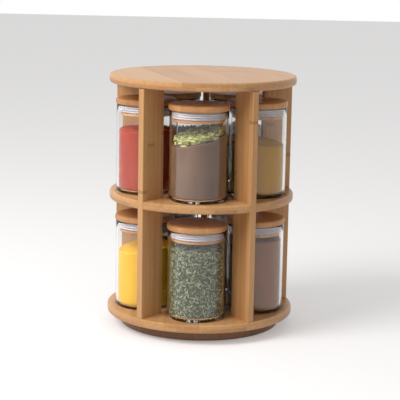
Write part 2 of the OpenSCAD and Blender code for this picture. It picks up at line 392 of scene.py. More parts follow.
@dataclass(frozen=True)
class Bamboo:
    """Laminated bamboo under a clear satin lacquer: glued strips with fine fibres along them.

    Attributes:
        name: The material's name.
        pale, dark: The tones between which strips and fibres vary.
        strip: Width of a strip.
        ply: Thickness of a layer of strips.
        first: Where an edge between two strips lies, across the strips.
        base: Height at which the lowest layer starts.
        turn: Turn of the strips about Z, in degrees.
        along: The axis that the fibres follow.
        seed: Number that makes the strips of one board differ from those of another.
        attribute: Name of the mesh attribute that holds the place in the wood, or nothing for
            the object's own coordinates.
        roughness: Roughness of the lacquer.
        layer_shift: How far each layer's strips are shifted from those below, as a share of a strip.
        node_gap: Distance between the dark marks of the stem's nodes, along a strip.
        seam_half: Half the width of a glue line.
    """

    name: str
    pale: Colour
    dark: Colour
    strip: float
    ply: float
    first: float = 0.0
    base: float = 0.0
    turn: float = 0.0
    along: Along = Along.Y
    seed: float = 0.0
    attribute: str = ""
    roughness: float = 0.4
    layer_shift: float = 0.37
    node_gap: float = 0.23
    seam_half: float = 0.0004

    def place(self, graph: Graph) -> tuple[Value, Value, Value]:
        """Returns the place in the wood: across the strips, along the fibres and through the layers."""
        if self.attribute:
            source = graph.attribute(self.attribute, "Vector")
        else:
            inputs = {"Vector": graph.object_place(), "Rotation": (0, 0, math.radians(-self.turn))}
            source = graph.node("ShaderNodeMapping", None, inputs).outputs[0]
        split = graph.node("ShaderNodeSeparateXYZ", None, {0: source})
        x, y, z = (Value(graph, split.outputs[n]) for n in range(3))
        return (x, y, z) if self.along is Along.Y else (x, z, y)

    def make(self) -> bpy.types.Material:
        """Builds the material."""
        graph = Graph.named(self.name)
        across, along, through = self.place(graph)
        layer = ((through - self.base) / self.ply).floor()
        step = (across - self.first) / self.strip + layer * self.layer_shift
        cell = graph.node("ShaderNodeCombineXYZ", None, {0: step.floor(), 1: layer, 2: self.seed}).outputs[0]
        chance = graph.node("ShaderNodeTexWhiteNoise", {"noise_dimensions": "3D"}, {"Vector": cell})
        shade = Value(graph, chance.outputs["Value"])
        rolls = graph.node("ShaderNodeSeparateColor", None, {0: chance.outputs["Color"]})
        roll, other_roll = Value(graph, rolls.outputs[0]), Value(graph, rolls.outputs[1])
        own = {0: across, 1: along + roll * 3.0 + self.seed, 2: through + other_roll}
        moved = graph.node("ShaderNodeCombineXYZ", None, own).outputs[0]
        fibres = graph.noise(graph.scaled(moved, (1700, 45, 1700)), 1.0, 2.0)
        streaks = graph.noise(graph.scaled(moved, (330, 7, 330)), 1.0, 3.0, 0.6)
        clouds = graph.noise(graph.scaled(moved, (45, 9, 45)), 1.0, 1.0)
        gap = self.node_gap
        ring_place = ((along + roll * gap) / gap + clouds * 0.01).fraction() - 0.5
        ring = (ring_place * gap).size().between(0.0028, 0.0004) * other_roll.between(0.45, 0.6)
        seam = (step.fraction() - 0.5).size().between(0.5 - self.seam_half / self.strip, 0.5)
        broad = (shade - 0.5) * 0.62 + (streaks - 0.5) * 0.9
        mixed = broad + (fibres - 0.5) * 0.7 + (clouds - 0.5) * 0.5 + 0.5
        wood = graph.mix(mixed.between(-0.15, 1.15), self.dark, self.pale)
        marked = graph.mix(ring * 0.45 + seam * 0.35, wood, tuple(0.32 * c for c in self.dark[:3]) + (1.0,))
        rough = self.roughness + (fibres - 0.5) * 0.16
        grain = graph.bump(fibres * 0.6 + streaks * 0.4 - seam * 0.8, 0.35, 0.00012)
        return graph.surface(Base_Color=marked, Roughness=rough, Normal=grain, IOR=1.5)


@dataclass(frozen=True)
class Glass:
    """Clear pressed glass, with a faint waviness from its mould."""

    name: str = "clear_glass"

    def make(self) -> bpy.types.Material:
        """Builds the material."""
        graph = Graph.named(self.name)
        place = graph.object_place()
        waves = graph.noise(graph.scaled(place, (60, 60, 22)), 1.0, 1.0)
        rough = graph.noise(place, 140.0, 2.0).between(0.55, 0.8) * 0.02
        wavy = graph.bump(waves, 0.12, 0.0005)
        return graph.surface(
            Base_Color=(0.985, 0.992, 0.99, 1.0),
            Roughness=rough,
            Normal=wavy,
            IOR=1.47,
            Transmission_Weight=1.0,
        )


@dataclass(frozen=True)
class Silicone:
    """Milky soft silicone, in cloudy lighter and darker patches."""

    name: str = "milky_silicone"

    def make(self) -> bpy.types.Material:
        """Builds the material."""
        graph = Graph.named(self.name)
        place = graph.object_place()
        cloud = graph.noise(place, 90.0, 2.0)
        colour = graph.mix(cloud, tone(176, 168, 172), tone(205, 198, 202))
        wavy = graph.bump(graph.noise(place, 260.0, 2.0), 0.25, 0.0004)
        return graph.surface(Base_Color=colour, Roughness=0.24 + cloud * 0.1, Normal=wavy, IOR=1.42)


@dataclass(frozen=True)
class PowderOrShade:
    """A powdered spice, or under whole grains a dark body that paints the shade between them: matt, with
    darker specks and soft clouds.

    Attributes:
        name: The material's name.
        light, deep: The tones between which the powder varies.
        speck: Tone of its scattered specks.
        specks: Share of the surface that the specks take.
    """

    name: str
    light: Colour
    deep: Colour
    speck: Colour
    specks: float = 0.1

    def make(self) -> bpy.types.Material:
        """Builds the material."""
        graph = Graph.named(self.name)
        place = graph.object_place()
        grain = graph.noise(place, 1300.0, 2.0, 0.6)
        cloud = graph.noise(graph.scaled(place, (60, 60, 35)), 1.0, 2.0)
        fine = graph.noise(place, 650.0, 1.0)
        body = graph.mix((grain - 0.5) * 0.9 + (cloud - 0.5) * 0.9 + 0.5, self.deep, self.light)
        spotted = graph.mix(fine.between(0.72 - self.specks, 0.8 - self.specks), body, self.speck)
        rough = graph.bump(grain * 0.7 + fine * 0.3, 0.6, 0.0005)
        return graph.surface(
            Base_Color=spotted,
            Roughness=0.92 - grain * 0.1,
            Normal=rough,
            Specular_IOR_Level=0.2,
        )


@dataclass(frozen=True)
class Whole:
    """Whole spice: each grain has its own tone, with fine ribs or freckles.

    Attributes:
        name: The material's name.
        tones: Tones from the darkest grain to the lightest.
        fine: Tone of the marks on each grain.
        scale: How many marks there are to a metre.
        roughness: Roughness of the skin.
    """

    name: str
    tones: tuple[Colour, Colour, Colour]
    fine: Colour
    scale: float = 900.0
    roughness: float = 0.6

    def make(self) -> bpy.types.Material:
        """Builds the material."""
        graph = Graph.named(self.name)
        pick = Value(graph, graph.attribute("tint", "Fac"))
        marks = graph.noise(graph.object_place(), self.scale, 2.0, 0.6)
        stops = [(0.0, self.tones[0]), (0.5, self.tones[1]), (1.0, self.tones[2])]
        ramp = graph.node("ShaderNodeValToRGB", {"stops": stops}, {0: pick}).outputs[0]
        colour = graph.mix(marks.between(0.5, 0.72) * 0.6, ramp, self.fine)
        skin = graph.bump(marks, 0.5, 0.0004)
        return graph.surface(Base_Color=colour, Roughness=self.roughness + marks * 0.15, Normal=skin)


@dataclass(frozen=True)
class Hidden:
    """A metal, rubber or plastic of the turntable, with brushing or moulded grain.

    Attributes:
        name: The material's name.
        colour: The plain tone.
        metallic: 1 for a metal, 0 for the rest.
        roughness: The mean roughness.
        grain: How many marks there are to a metre along X, Y and Z.
    """

    name: str
    colour: Colour
    metallic: float
    roughness: float
    grain: tuple[float, float, float] = (700.0, 700.0, 700.0)

    def make(self) -> bpy.types.Material:
        """Builds the material."""
        graph = Graph.named(self.name)
        marks = graph.noise(graph.scaled(graph.object_place(), self.grain), 1.0, 3.0, 0.6)
        deeper = tuple(0.6 * c for c in self.colour[:3]) + (1.0,)
        shaded = graph.mix(marks.between(0.3, 0.75) * 0.25, self.colour, deeper)
        return graph.surface(
            Base_Color=shaded,
            Metallic=self.metallic,
            Roughness=self.roughness + (marks - 0.5) * 0.2,
            Normal=graph.bump(marks, 0.3, 0.0002),
        )


def dress(piece: bpy.types.Object, material: bpy.types.Material) -> None:
    """Gives a piece one material, in place of any that it has."""
    piece.data.materials.clear()
    piece.data.materials.append(material)


@dataclass
class Boards:
    """The three round boards, the base and the dividers: frame nodes with laminated bamboo on them.

    Attributes:
        pale, dark: Tones of the boards.
        base_pale, base_dark: Tones of the base, darker than the boards'.
        divider_strip: Width of a divider's strips.
        divider_ply: Thickness of a layer, more than a divider's, so that it has one.
        divider_start: Distance of a divider's first strip from the middle of the rack.
    """

    pale: Colour = tone(212, 163, 110)
    dark: Colour = tone(178, 124, 74)
    base_pale: Colour = tone(140, 96, 56)
    base_dark: Colour = tone(98, 62, 34)
    divider_strip: float = 0.0112
    divider_ply: float = 0.02
    divider_start: float = 0.0705

    def round_board(self, node: str, strip: float, first: float, turn: float, seed: float) -> None:
        """Dresses one board, whose strips are two layers thick."""
        low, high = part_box(node)
        ply = (high.z - low.z) / 2 + 0.0001
        finish = Bamboo(
            f"bamboo_{node}", self.pale, self.dark, strip, ply, first, low.z, turn, seed=seed, roughness=0.38
        )
        dress(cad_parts[node], finish.make())
        log.info("board %s: strips of %.1f mm", node, strip / MM)

    def divider(self, number: int) -> None:
        """Dresses one divider, whose fibres run upwards."""
        node = f"divider_{number}"
        turn = BAY_TURN * (number - 0.5) - 90
        finish = Bamboo(
            f"bamboo_{node}",
            self.pale,
            self.dark,
            self.divider_strip,
            self.divider_ply,
            self.divider_start,
            self.divider_ply / 2,
            turn,
            Along.Z,
            seed=2.7 * number,
        )
        dress(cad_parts[node], finish.make())
        log.info("divider %s", node)

    def build(self) -> None:
        """Dresses all boards and dividers."""
        self.round_board("top_panel", 0.0338, -0.0039, 20.0, 1.3)
        self.round_board("middle_shelf", 0.0234, -0.0085, 3.0, 4.1)
        self.round_board("bottom_shelf", 0.0375, 0.0140, 3.0, 7.9)
        for number in range(1, BAYS + 1):
            self.divider(number)
        low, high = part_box("base_plate")
        ply = high.z - low.z + MM
        base = Bamboo("bamboo_base", self.base_pale, self.base_dark, 0.03, ply, base=low.z - 0.5 * MM)
        dress(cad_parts["base_plate"], base.make())
        dowel = Bamboo("birch_dowel", tone(225, 190, 145), tone(200, 160, 112), 0.05, 0.05, along=Along.Z)
        dress(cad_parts["dowels"], dowel.make())


@dataclass
class Turntable:
    """The ball-bearing ring between base and bottom shelf, and the pads under the base.

    Attributes:
        pad_radius: Radius of a pad, in millimetres.
        pad_edge: Radius of a pad's rounded edge, in millimetres.
        pad_grooves: Radii of the round grooves in a pad's underside, in millimetres.
    """

    pad_radius: float = 7.5
    pad_edge: float = 0.4
    pad_grooves: tuple[float, ...] = (2.5, 4.5)

    def metals(self) -> None:
        """Dresses the rings, balls, screws and cage."""
        aluminium = Hidden("satin_aluminium", tone(205, 207, 210), 1.0, 0.35, (120.0, 1400.0, 1400.0)).make()
        steel = Hidden("bright_steel", tone(190, 190, 192), 1.0, 0.25).make()
        nylon = Hidden("plain_nylon", tone(232, 226, 210), 0.0, 0.5).make()
        for node in ("lower_bearing_ring", "upper_bearing_ring"):
            dress(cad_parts[node], aluminium)
        for node in ("lower_ring_screws", "upper_ring_screws", "bearing_balls"):
            dress(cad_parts[node], steel)
        dress(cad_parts["ball_cage"], nylon)

    def pads(self) -> None:
        """Builds the pads: flat discs with rounded edges and round grooves underneath."""
        low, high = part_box("anti_slip_pads")
        height = (high.z - low.z) / MM
        radius, edge = self.pad_radius, self.pad_edge
        ring_r = -low.y - radius * MM
        groove = np.array([[-0.4, 0], [-0.2, 0.3], [0.2, 0.3], [0.4, 0]])
        grooves = [groove + [middle, 0] for middle in self.pad_grooves]
        profile = np.vstack([
            [[0, 0]], *grooves, arc((radius - edge, edge), edge, -90, 0, 4),
            arc((radius - edge, height - edge), edge, 0, 90, 4), [[0, height]],
        ])
        angles = np.radians(np.arange(BAYS) * BAY_TURN - 90)
        shape = lathe(profile, 48)
        pads = [shape.moved((ring_r * math.cos(a), ring_r * math.sin(a), low.z)) for a in angles]
        whole = pads[0]
        for pad in pads[1:]:
            whole = whole.joined(pad)
        piece = whole.piece("rubber_pads")
        dress(piece, Hidden("black_rubber", tone(52, 52, 54), 0.0, 0.8).make())
        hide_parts("anti_slip_pads")
        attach(piece, "base")
        log.info("pads: %d on a circle of %.1f mm", len(pads), 2 * ring_r / MM)

    def build(self) -> None:
        """Dresses the bearing and builds the pads."""
        self.metals()
        self.pads()


@dataclass(frozen=True)
class Heap:
    """How the spice lies in a jar, in millimetres and degrees.

    Attributes:
        level: Height of its top above the glass floor, in the middle.
        slope: Slope of its top.
        uphill: Turn of the uphill direction, from the right of the bay as seen from outside.
        lump: Height of the lumps in its top.
        seed: Seed of the lumps.
    """

    level: float
    slope: float
    uphill: float
    lump: float
    seed: int

    def top(self, x: np.ndarray, y: np.ndarray) -> np.ndarray:
        """Height of the top: a tilted plane plus a sum of twelve waves of random direction and length."""
        tilt = math.radians(self.uphill)
        plane = self.level + math.tan(math.radians(self.slope)) * (x * math.cos(tilt) + y * math.sin(tilt))
        rng = np.random.default_rng(self.seed)
        way, phase = rng.uniform(0, 2 * math.pi, (2, 12))
        length = rng.uniform(7, 30, 12)
        along = x[..., None] * np.cos(way) + y[..., None] * np.sin(way)
        waves = np.sin(2 * math.pi * along / length + phase) * length / 30
        return plane + self.lump * waves.sum(-1) / 3


@dataclass
class Filling:
    """A body of spice with a flat floor, a rounded heel, an upright wall and a lumpy top.

    Attributes:
        heap: How the spice lies.
        radius: Radius of the wall, in millimetres.
        heel: Radius of the heel.
        floor: Height of its underside above that of the glass.
    """

    heap: Heap
    radius: float = 29.5
    heel: float = 3.2
    floor: float = 3.75

    def surface(self, columns: int = 160, across: int = 36, up: int = 30) -> Surface:
        """The body as rings: over the floor, round the heel, up the wall and in over the top.

        On the wall, ring heights share out the way from the heel to the top's height at that
        angle. On the top, each ring is at a share of the radius, at the height of the heap.
        """
        angles = 2 * math.pi * np.arange(columns) / columns
        start = np.linspace(0, self.radius - self.heel, 4)
        heel = arc((self.radius - self.heel, self.floor + self.heel), self.heel, -90, 0, 5)
        below = np.vstack([np.stack([start[:-1], np.full(3, self.floor)], -1), heel])
        radii = np.repeat(below[:, :1], columns, axis=1)
        heights = np.repeat(below[:, 1:], columns, axis=1)
        edge = self.height(self.radius * np.cos(angles), self.radius * np.sin(angles))
        share = np.linspace(0, 1, up + 1)[1:, None]
        wall = heights[-1] + (edge - heights[-1]) * share
        inward = np.linspace(1, 0, across + 1)[1:, None] * self.radius
        lid_r = np.repeat(inward, columns, axis=1)
        lid = self.height(lid_r * np.cos(angles), lid_r * np.sin(angles))
        radii = np.vstack([radii, np.full(wall.shape, self.radius), lid_r])
        return turned(radii, np.vstack([heights, wall, lid]))

    def height(self, x: np.ndarray, y: np.ndarray) -> np.ndarray:
        """Height of the heap's top above the underside of the glass."""
        return self.floor + self.heap.top(x, y)


def seed_shape(sides: int, rings: int, ridge: float = 0.0, pinch: float = 1.0) -> Surface:
    """A spindle of unit half length along Y. The radius at place t along it is (1 - t squared) to
    the power of half the pinch, and the ridge swells it three times round.

    Args:
        sides: Points round it.
        rings: Rings along it, without its two tips.
        ridge: Height of its three ridges, as a share of the radius.
        pinch: 1 gives an ellipsoid, and more gives sharper tips.

    Returns:
        The shape, about a point in its middle, in metres times 1000.
    """
    places = np.cos(np.linspace(math.pi, 0, rings + 2))
    radius = np.power(np.clip(1 - places**2, 0, 1), pinch / 2)
    angles = 2 * math.pi * np.arange(sides) / sides
    swell = 1 + ridge * np.cos(3 * angles)
    shape = turned(radius[:, None] * swell, np.repeat(places[:, None], sides, axis=1))
    points = shape.points / MM
    return Surface(np.stack([points[:, 0], points[:, 2], -points[:, 1]], -1), shape.quads, shape.triangles)


def clove_shape() -> Surface:
    """A clove along Y: a thin stalk that widens to a collar, with a round bud on its end."""
    stalk = [[0, -1], [0.16, -0.97], [0.2, -0.4], [0.26, 0.2]]
    collar = [[0.44, 0.42], [0.2, 0.5]]
    bud = [[0.36, 0.7], [0.2, 0.94], [0, 1]]
    shape = lathe(np.array([*stalk, *collar, *bud]), 7)
    points = shape.points / MM
    return Surface(np.stack([points[:, 0], points[:, 2], -points[:, 1]], -1), shape.quads, shape.triangles)


@dataclass
class Grains:
    """Whole spice that lies against the glass and on the heap, over a filling.

    Attributes:
        shape: One grain, with unit half length along Y.
        half: Half its width, length and thickness, in millimetres.
        vary: How much the grains differ in size, as a share.
        spacing: Mean distance between grains along and across their rows.
        depth: How far grains lie in from the wall, from and to.
        upright: How far from level the grains on the heap lean, in degrees.
        seed: Seed of the places.
    """

    shape: Surface
    half: tuple[float, float, float]
    vary: float
    spacing: float
    depth: tuple[float, float]
    upright: float
    seed: int

    def scattered(self, places: np.ndarray, along: np.ndarray, out: np.ndarray) -> tuple[Surface, np.ndarray]:
        """Copies the shape to each place, turned to its two directions.

        A point p of the shape goes to the place plus side, along and out times p's three
        coordinates, each times half the grain's size.

        Args:
            places: N by 3, in millimetres.
            along: N by 3 unit vectors that the grains' lengths follow.
            out: N by 3 vectors that their backs face.

        Returns:
            The grains as one surface, and a random number for each point, the same on one grain.
        """
        rng = np.random.default_rng(self.seed + 7)
        count = len(places)
        side = np.cross(along, out)
        side /= np.linalg.norm(side, axis=1, keepdims=True)
        back = np.cross(side, along)
        scale = 1 + self.vary * rng.uniform(-1, 1, (count, 1))
        halves = [way * half * scale for way, half in zip((side, along, back), self.half)]
        axes = np.stack(halves, 1)
        points = places[:, None, :] + np.einsum("kc,ncd->nkd", self.shape.points, axes)
        starts = (np.arange(count) * len(self.shape.points))[:, None, None]
        whole = Surface(
            points.reshape(-1, 3) * MM,
            (self.shape.quads[None] + starts).reshape(-1, 4),
            (self.shape.triangles[None] + starts).reshape(-1, 3),
        )
        return whole, np.repeat(rng.uniform(0, 1, count), len(self.shape.points))

    def on_wall(self, filling: Filling, rng: np.random.Generator) -> Placed:
        """Places against the glass, in staggered rows with random shifts, up to the heap's top."""
        radius = filling.radius
        rows = int((filling.heap.level + 20) / self.spacing)
        columns = int(2 * math.pi * radius / self.spacing)
        row, column = (g.ravel() for g in np.meshgrid(np.arange(rows), np.arange(columns), indexing="ij"))
        shift = rng.uniform(-0.45, 0.45, (2, len(row)))
        angle = 2 * math.pi * (column + (row % 2) / 2 + shift[0]) / columns
        height = filling.floor + (row + 0.7 + shift[1]) * self.spacing
        deep = radius - rng.uniform(*self.depth, len(row))
        deep = np.minimum(deep, radius - self.half[2])
        places = np.stack([deep * np.cos(angle), deep * np.sin(angle), height], -1)
        kept = height < filling.height(places[:, 0], places[:, 1]) - self.half[2]
        places, angle = places[kept], angle[kept]
        lean = rng.uniform(0, math.pi, len(places))
        out = np.stack([np.cos(angle), np.sin(angle), np.zeros(len(angle))], -1)
        round_way = np.stack([-np.sin(angle), np.cos(angle), np.zeros(len(angle))], -1)
        along = round_way * np.cos(lean)[:, None] + np.array([0, 0, 1]) * np.sin(lean)[:, None]
        return places, along, out

    def on_top(self, filling: Filling, rng: np.random.Generator) -> Placed:
        """Places on the heap, in a shifted grid within the wall, with random leans."""
        reach = filling.radius - self.half[1] * 0.75
        steps = np.arange(-reach, reach, self.spacing)
        x, y = (g.ravel() for g in np.meshgrid(steps, steps))
        x = x + rng.uniform(-0.5, 0.5, len(x)) * self.spacing
        y = y + rng.uniform(-0.5, 0.5, len(y)) * self.spacing
        kept = np.hypot(x, y) < reach
        x, y = x[kept], y[kept]
        height = filling.height(x, y) + rng.uniform(-0.6, 0.4, len(x)) * self.half[2]
        places = np.stack([x, y, height], -1)
        way = rng.uniform(0, 2 * math.pi, len(x))
        lean = np.radians(rng.uniform(-self.upright, self.upright, len(x)))
        along = np.stack([np.cos(way) * np.cos(lean), np.sin(way) * np.cos(lean), np.sin(lean)], -1)
        return places, along, np.tile([0.02, 0.01, 1.0], (len(x), 1))

    def over(self, filling: Filling) -> tuple[Surface, np.ndarray]:
        """Covers a filling with grains, on its wall and its top."""
        rng = np.random.default_rng(self.seed)
        parts = [self.on_wall(filling, rng), self.on_top(filling, rng)]
        return self.scattered(*(np.vstack(group) for group in zip(*parts)))


@dataclass
class Jar:
    """One glass jar with its lid, seal and spice, in its bay.

    Attributes:
        tier: The tier that it stands on.
        bay: Its bay, from 1 to 5.
        radius: Radius of the glass, in millimetres.
        lid_radius: Radius of the lid.
        plug_depth: Depth of the lid's plug.
        wall, floor: Thickness of the glass at its wall and floor.
        heel, inner_heel: Radii of the heel outside and inside.
        lid_edge: Radius of the lid's rounded edges.
        plug_gap: Gap between the glass and the lid's plug.
        groove: Depth, top and height of the plug's groove.
        seal_lips: How many lips the seal has.
    """

    tier: Tier
    bay: int
    radius: float = 32.5
    lid_radius: float = 33.5
    plug_depth: float = 12.0
    wall: float = 2.3
    floor: float = 3.6
    heel: float = 5.0
    inner_heel: float = 3.4
    lid_edge: float = 2.4
    plug_gap: float = 1.9
    groove: tuple[float, float, float] = (0.9, 1.2, 7.2)
    seal_lips: int = 3

    def __post_init__(self) -> None:
        """Reads the jar's place and size from the frame."""
        low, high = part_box(self.node("jar"))
        turn = math.radians(BAY_TURN * (self.bay - 1))
        centre = (low + high) / 2
        reach = math.hypot(centre.x, centre.y)
        self.turn = turn
        self.foot = (reach * math.sin(turn), -reach * math.cos(turn), low.z)
        self.height = (high.z - low.z) / MM
        lid_low, lid_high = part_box(self.node("lid"))
        self.lid_thick = (lid_high.z - lid_low.z) / MM - self.plug_depth
        self.lid_z = lid_low.z + self.plug_depth * MM

    def node(self, part: str) -> str:
        """The frame's name for a part of this jar."""
        return f"{self.tier.value}_{part}_{self.bay}"

    def settle(
        self, piece: bpy.types.Object, part: str, body: str, material: bpy.types.Material
    ) -> None:
        """Dresses a piece, lets it stand for its node and ties it to its body."""
        dress(piece, material)
        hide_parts(self.node(part))
        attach(piece, self.node(body))

    def place(self, shape: Surface, height: float) -> Surface:
        """Turns a shape to face out of this bay and moves it to the jar's axis, at a height."""
        turn = np.array(Matrix.Rotation(self.turn, 3, "Z"))
        facing = Surface(shape.points @ turn.T, shape.quads, shape.triangles)
        return facing.moved((self.foot[0], self.foot[1], height))

    def glass(self, material: bpy.types.Material) -> None:
        """Builds the glass: a raised underside, a round heel, a wall with a round lip, and the inside."""
        r, inner, lip = self.radius, self.radius - self.wall, self.wall / 2
        profile = np.vstack([
            [[0, 0.5], [12, 0.45], [21, 0.25], [24.5, 0]],
            arc((r - self.heel, self.heel), self.heel, -90, 0, 8),
            arc((r - lip, self.height - lip), lip, 0, 180, 10),
            arc((inner - self.inner_heel, self.floor + self.inner_heel), self.inner_heel, 0, -90, 7),
            [[14, self.floor + 0.1], [0, self.floor + 0.15]],
        ])
        shape = self.place(lathe(finely(profile, 9.0), 160), self.foot[2])
        piece = shape.piece(f"glass_{self.tier.value}_{self.bay}")
        piece.visible_shadow = False
        self.settle(piece, "jar", "jar", material)

    def lid_profile(self) -> np.ndarray:
        """Half section of the lid: its plug with the seal's groove, and the cap with rounded edges."""
        plug = self.radius - self.wall - self.plug_gap
        deep, top, high = self.groove
        edge = self.lid_edge
        return np.vstack([
            [[0, -self.plug_depth]],
            arc((plug - 1, 1 - self.plug_depth), 1, -90, 0, 4),
            [[plug, -top - high], [plug - deep, -top - high], [plug - deep, -top], [plug, -top], [plug, 0]],
            arc((self.lid_radius - edge, edge), edge, -90, 0, 7),
            arc((self.lid_radius - edge, self.lid_thick - edge), edge, 0, 90, 7),
            [[0, self.lid_thick]],
        ])

    def lid(self, material: bpy.types.Material) -> None:
        """Builds the lid, whose wood is cut from its own place in the bamboo."""
        shape = lathe(finely(self.lid_profile(), 6.0), 144)
        rng = np.random.default_rng(10 * self.bay + (self.tier is Tier.UPPER))
        turn = np.array(Matrix.Rotation(rng.uniform(0, math.pi), 3, "Z"))
        wood = shape.points @ turn.T + rng.uniform(0.1, 0.9, 3)
        piece = self.place(shape, self.lid_z).piece(f"cap_{self.tier.value}_{self.bay}", wood=wood)
        self.settle(piece, "lid", "lid", material)

    def seal(self, material: bpy.types.Material) -> None:
        """Builds the seal: a band in the plug's groove with round lips towards the glass."""
        deep, top, high = self.groove
        plug = self.radius - self.wall - self.plug_gap
        inner, out = plug - deep + 0.05, self.radius - self.wall - 0.1
        low, pitch = -top - high + 0.05, (high - 0.1) / self.seal_lips
        lip = pitch * 0.3
        lips = [arc((out - lip, low + pitch * (n + 0.5)), lip, -90, 90, 6) for n in range(self.seal_lips)]
        between = [[[out - 2.4 * lip, low + pitch * (n + 1)]] for n in range(self.seal_lips - 1)]
        outside = [part for pair in zip(lips, [*between, None]) for part in pair if part is not None]
        back, upper = out - 2 * lip, low + high - 0.1
        profile = np.vstack([[[inner, low], [back, low]], *outside, [[back, upper], [inner, upper]]])
        shape = self.place(lathe(profile, 128, closed=True), self.lid_z)
        piece = shape.piece(f"seal_{self.tier.value}_{self.bay}")
        self.settle(piece, "seal", "lid", material)

    def spice(self, filling: Filling, ground: bpy.types.Material, slot: str) -> bpy.types.Object:
        """Builds the body of the spice: its powder, or under whole grains a dark body that paints the shade
        between them.
        """
        shape = self.place(filling.surface(), self.foot[2])
        piece = shape.piece(f"spice_{self.tier.value}_{self.bay}")
        self.settle(piece, "spice", "jar", ground)
        return piece

    def whole_spice(
        self, grains: tuple[Surface, np.ndarray], material: bpy.types.Material
    ) -> None:
        """Builds the whole grains over the body of the spice."""
        surface, tint = grains
        piece = self.place(surface, self.foot[2]).piece(f"grains_{self.tier.value}_{self.bay}", tint=tint)
        self.settle(piece, "spice", "jar", material)


@dataclass(frozen=True)
class Recipe:
    """What one jar holds.

    Attributes:
        slot: Name of the record's material slot; not used.
        heap: How it lies.
        ground: The finish of its powder, or of the dark body under its grains that paints the shade between
            them.
        whole: The finish of its whole grains, if it has any.
        grains: The shape and spread of its whole grains.
    """

    slot: str
    heap: Heap
    ground: PowderOrShade
    whole: Whole | None = None
    grains: Grains | None = None


@dataclass
class Pods(Grains):
    """Pods in a loose layer over a powder, some of them against the glass.

    Attributes:
        layers: How many layers there are.
        rise: Height from one layer to the next, in millimetres.
    """

    layers: int = 3
    rise: float = 2.4

    def over(self, filling: Filling) -> tuple[Surface, np.ndarray]:
        """Covers the top of a filling with layers of pods."""
        rng = np.random.default_rng(self.seed)
        parts = []
        for number in range(self.layers):
            places, along, out = self.on_top(filling, rng)
            places[:, 2] += self.half[2] * 0.7 + number * self.rise
            beside = np.hypot(places[:, 0], places[:, 1]) > filling.radius - self.half[1] * 1.5
            round_way = np.stack([-places[:, 1], places[:, 0], along[:, 2] * 8], -1)
            round_way /= np.linalg.norm(round_way, axis=1, keepdims=True)
            along = np.where(beside[:, None], round_way, along)
            parts.append((places, along, out))
        return self.scattered(*(np.vstack(group) for group in zip(*parts)))


def recipes() -> dict[tuple[Tier, int], Recipe]:
    """What each jar holds, by tier and bay."""
    # Speck tone of the dark bodies under whole grains, which paint the shade between the grains.
    shade = tone(30, 26, 14)
    pods = Pods(seed_shape(8, 5, 0.12, 1.25), (1.75, 3.6, 1.6), 0.18, 4.3, (0, 0), 25, 11)
    seeds = Grains(seed_shape(5, 3, 0.0, 1.3), (0.62, 2.1, 0.55), 0.25, 1.85, (0.5, 1.5), 20, 21)
    corns = Grains(seed_shape(8, 5), (2.3, 2.3, 2.3), 0.12, 4.4, (2.3, 3.0), 90, 31)
    balls = Grains(seed_shape(8, 5, 0.0, 0.95), (1.9, 2.0, 1.9), 0.15, 3.7, (1.9, 2.5), 90, 41)
    cloves = Grains(clove_shape(), (2.6, 6.0, 2.6), 0.12, 4.6, (2.4, 3.2), 30, 51)
    return {
        (Tier.UPPER, 1): Recipe(
            "spice_cocoa", Heap(64.5, 15, 30, 0.5, 1),
            PowderOrShade("ground_cocoa", tone(122, 92, 72), tone(84, 60, 45), tone(140, 108, 88), 0.06),
            Whole("green_pods", (tone(120, 122, 60), tone(168, 168, 98), tone(196, 192, 128)),
                  tone(96, 96, 44), 700.0),
            pods,
        ),
        (Tier.UPPER, 2): Recipe(
            "spice_mustard", Heap(57, 7, 90, 0.5, 2),
            PowderOrShade("ground_mustard", tone(198, 146, 24), tone(172, 120, 12), tone(140, 92, 8), 0.05),
        ),
        (Tier.UPPER, 3): Recipe(
            "spice_coriander", Heap(64, 3, 90, 0.8, 3),
            PowderOrShade("coriander_painted_shade", tone(90, 68, 36), tone(60, 44, 22), shade),
            Whole("coriander", (tone(150, 118, 66), tone(182, 150, 92), tone(204, 176, 120)),
                  tone(120, 92, 50), 1100.0),
            balls,
        ),
        (Tier.UPPER, 4): Recipe(
            "spice_pepper", Heap(58, 4, 90, 0.8, 4),
            PowderOrShade("pepper_painted_shade", tone(44, 34, 26), tone(26, 20, 15), shade),
            Whole("peppercorns", (tone(48, 36, 28), tone(74, 56, 42), tone(104, 82, 62)),
                  tone(34, 24, 18), 1000.0),
            corns,
        ),
        (Tier.UPPER, 5): Recipe(
            "spice_paprika", Heap(68, 2, 90, 0.9, 5),
            PowderOrShade("ground_paprika", tone(172, 52, 8), tone(140, 34, 6), tone(108, 22, 6), 0.08),
        ),
        (Tier.LOWER, 1): Recipe(
            "spice_fennel", Heap(75, 5, 30, 1.6, 6),
            PowderOrShade("fennel_painted_shade", tone(84, 88, 58), tone(52, 56, 34), shade),
            Whole("fennel_seeds", (tone(104, 110, 84), tone(140, 146, 118), tone(178, 182, 152)),
                  tone(74, 82, 50), 1500.0),
            seeds,
        ),
        (Tier.LOWER, 2): Recipe(
            "spice_russet", Heap(79, 2, 90, 0.6, 7),
            PowderOrShade("ground_russet", tone(156, 108, 82), tone(128, 86, 64), tone(104, 66, 48), 0.05),
        ),
        (Tier.LOWER, 3): Recipe(
            "spice_orange", Heap(62, 4, 90, 0.8, 8),
            PowderOrShade("ground_orange", tone(192, 98, 30), tone(160, 74, 20), tone(112, 34, 10), 0.12),
        ),
        (Tier.LOWER, 4): Recipe(
            "spice_clove", Heap(66, 3, 90, 1.2, 9),
            PowderOrShade("clove_painted_shade", tone(58, 38, 24), tone(36, 22, 14), shade),
            Whole("cloves", (tone(66, 42, 26), tone(92, 60, 38), tone(120, 82, 54)),
                  tone(44, 26, 16), 1200.0, 0.7),
            cloves,
        ),
        (Tier.LOWER, 5): Recipe(
            "spice_turmeric", Heap(65, 8, 90, 0.4, 10),
            PowderOrShade("ground_turmeric", tone(232, 182, 34), tone(214, 162, 20), tone(190, 136, 12), 0.04),
        ),
    }


